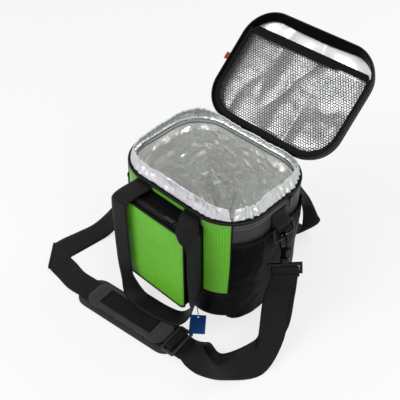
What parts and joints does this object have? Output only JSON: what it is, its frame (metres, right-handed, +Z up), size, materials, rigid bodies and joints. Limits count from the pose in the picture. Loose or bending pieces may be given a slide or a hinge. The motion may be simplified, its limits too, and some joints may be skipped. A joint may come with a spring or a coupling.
{
  "type": "vaccine carrier",
  "caption": "Soft insulated cool bag with an open zipped lid, foil-lined compartment, front and side pockets, two hand straps and a clipped shoulder strap with a sliding pad.",
  "frame": {"origin": "middle of the bag's underside, where it stands", "axes": "+Z up, -Y towards the front pocket, +X to the right side pocket, the lid hinged at +Y"},
  "size_m": [0.5223, 0.5619, 0.405],
  "materials": {
    "green_shell": "coated ripstop polyester, matt",
    "charcoal_shell": "coated plain-weave polyester, matt",
    "black_fabric": "plain-weave polyester, matt",
    "black_binding": "knitted elastic and binding tape, matt",
    "zip_tape": "woven tape with coil teeth, matt",
    "insulation": "closed-cell foam, matt",
    "foil": "aluminised film, crinkled, glossy",
    "black_mesh": "open knitted mesh, matt",
    "red_label": "folded woven tape, matt",
    "webbing": "ribbed polypropylene webbing, slight sheen",
    "black_plastic": "injection moulded, satin",
    "black_hardware": "black-painted die casting, glossy",
    "pad_fabric": "brushed knit over foam, matt",
    "tag_card": "printed card, satin",
    "tag_string": "waxed cord, matt"
  },
  "bodies": {
    "carrier": {"back_panel": "green_shell", "base_band": "charcoal_shell", "base_foam": "insulation", "base_panel": "charcoal_shell", "collar_back": "foil", "collar_front": "foil", "collar_left": "foil", "collar_right": "foil", "foil_liner": "foil", "front_panel": "green_shell", "front_pocket_face": "green_shell", "front_pocket_gusset": "black_fabric", "front_pocket_piping": "black_binding", "front_pocket_zip": "zip_tape", "handle_anchors": "webbing", "left_hook_eye": "black_hardware", "left_pocket_elastic": "black_binding", "left_side_panel": "charcoal_shell", "left_side_pocket": "black_fabric", "left_side_tab": "webbing", "lid_hinge_web": "charcoal_shell", "right_hook_eye": "black_hardware", "right_pocket_elastic": "black_binding", "right_side_panel": "charcoal_shell", "right_side_pocket": "black_fabric", "right_side_tab": "webbing", "rim_zip_tape": "zip_tape", "strap_fold": "webbing", "strap_left_run": "webbing", "strap_pad_run": "webbing", "strap_right_inner": "webbing", "strap_right_outer": "webbing", "strap_slider": "black_plastic", "swing_tag": "tag_card", "tag_cord": "tag_string", "wall_foam": "insulation"},
    "lid": {"lid_skirt": "charcoal_shell", "lid_top": "green_shell", "lid_foam": "insulation", "lid_foil": "foil", "lid_zip_tape": "zip_tape", "lid_mesh_pocket": "black_mesh", "lid_pocket_elastic": "black_binding", "lid_side_tag": "red_label"},
    "front_handle_base": {"front_handle_ends": "webbing"},
    "front_handle_loop": {"front_handle": "webbing"},
    "back_handle_loop": {"back_handle": "webbing"},
    "shoulder_pad": {"pad_base": "pad_fabric", "pad_top": "pad_fabric", "pad_inlay": "pad_fabric"},
    "lid_slider": {"lid_zip_slider": "black_hardware"},
    "lid_pull": {"lid_zip_pull": "black_hardware"},
    "pocket_slider": {"pocket_zip_slider": "black_hardware"},
    "pocket_pull": {"pocket_zip_pull": "black_hardware"},
    "right_ring": {"right_side_ring": "black_plastic"},
    "right_hook": {"right_snap_hook": "black_hardware"},
    "right_gate": {"right_hook_gate": "black_hardware"},
    "left_ring": {"left_side_ring": "black_plastic"},
    "left_hook": {"left_snap_hook": "black_hardware"},
    "left_gate": {"left_hook_gate": "black_hardware"}
  },
  "joints": [
    {"name": "lid_hinge", "type": "hinge", "parent": "carrier", "child": "lid", "pos_m": [0, 0.116, 0.25], "axis": [1, 0, 0], "range_deg": [-12, 138]},
    {"name": "front_handle_fold", "type": "hinge", "parent": "carrier", "child": "front_handle_base", "pos_m": [0, -0.1173, 0.244], "axis": [-1, 0, 0], "range_deg": [0, 90]},
    {"name": "front_handle_swing", "type": "hinge", "parent": "front_handle_base", "child": "front_handle_loop", "pos_m": [0, -0.163, 0.244], "axis": [-1, 0, 0], "range_deg": [0, 90]},
    {"name": "back_handle_swing", "type": "hinge", "parent": "carrier", "child": "back_handle_loop", "pos_m": [0, 0.1183, 0.21], "axis": [1, 0, 0], "range_deg": [0, 95]},
    {"name": "pad_slide", "type": "slide", "parent": "carrier", "child": "shoulder_pad", "axis": [0.9936, 0.1132, 0], "range_m": [-0.03, 0]},
    {"name": "lid_slider_run", "type": "slide", "parent": "carrier", "child": "lid_slider", "axis": [0, -1, 0], "range_m": [0, 0.064]},
    {"name": "lid_pull_swing", "type": "hinge", "parent": "lid_slider", "child": "lid_pull", "pos_m": [0.1545, 0.03, 0.248], "axis": [0, -1, 0], "range_deg": [0, 170]},
    {"name": "pocket_slider_run", "type": "slide", "parent": "carrier", "child": "pocket_slider", "axis": [-1, 0, 0], "range_m": [0, 0.104]},
    {"name": "pocket_pull_swing", "type": "hinge", "parent": "pocket_slider", "child": "pocket_pull", "pos_m": [0.047, -0.15, 0.2401], "axis": [0, 1, 0], "range_deg": [0, 135]},
    {"name": "right_ring_tilt", "type": "hinge", "parent": "carrier", "child": "right_ring", "pos_m": [0.161, 0.002, 0.206], "axis": [0, -1, 0], "range_deg": [-2.5, 2.5]},
    {"name": "right_hook_swivel", "type": "hinge", "parent": "carrier", "child": "right_hook", "pos_m": [0.1671, 0.002, 0.18155], "axis": [0.2872, -0.2154, -0.9333], "range_deg": [-10, 10]},
    {"name": "right_gate_swing", "type": "hinge", "parent": "right_hook", "child": "right_gate", "pos_m": [0.17948, -0.00242, 0.16442], "axis": [-0.0633, -0.9765, 0.2059], "range_deg": [0, 35], "stiffness_Nm_per_rad": 0.02, "springref_deg": -11.46},
    {"name": "left_ring_tilt", "type": "hinge", "parent": "carrier", "child": "left_ring", "pos_m": [-0.161, 0.002, 0.206], "axis": [0, 1, 0], "range_deg": [-2.5, 2.5]},
    {"name": "left_hook_swivel", "type": "hinge", "parent": "carrier", "child": "left_hook", "pos_m": [-0.1671, 0.002, 0.18155], "axis": [-0.2872, -0.2154, -0.9333], "range_deg": [-10, 10]},
    {"name": "left_gate_swing", "type": "hinge", "parent": "left_hook", "child": "left_gate", "pos_m": [-0.17948, -0.00242, 0.16442], "axis": [-0.0633, 0.9765, -0.2059], "range_deg": [0, 35], "stiffness_Nm_per_rad": 0.02, "springref_deg": -11.46}
  ],
  "couplings": [
    {"joint": "front_handle_fold", "follows": "front_handle_swing", "ratio": 1}
  ]
}
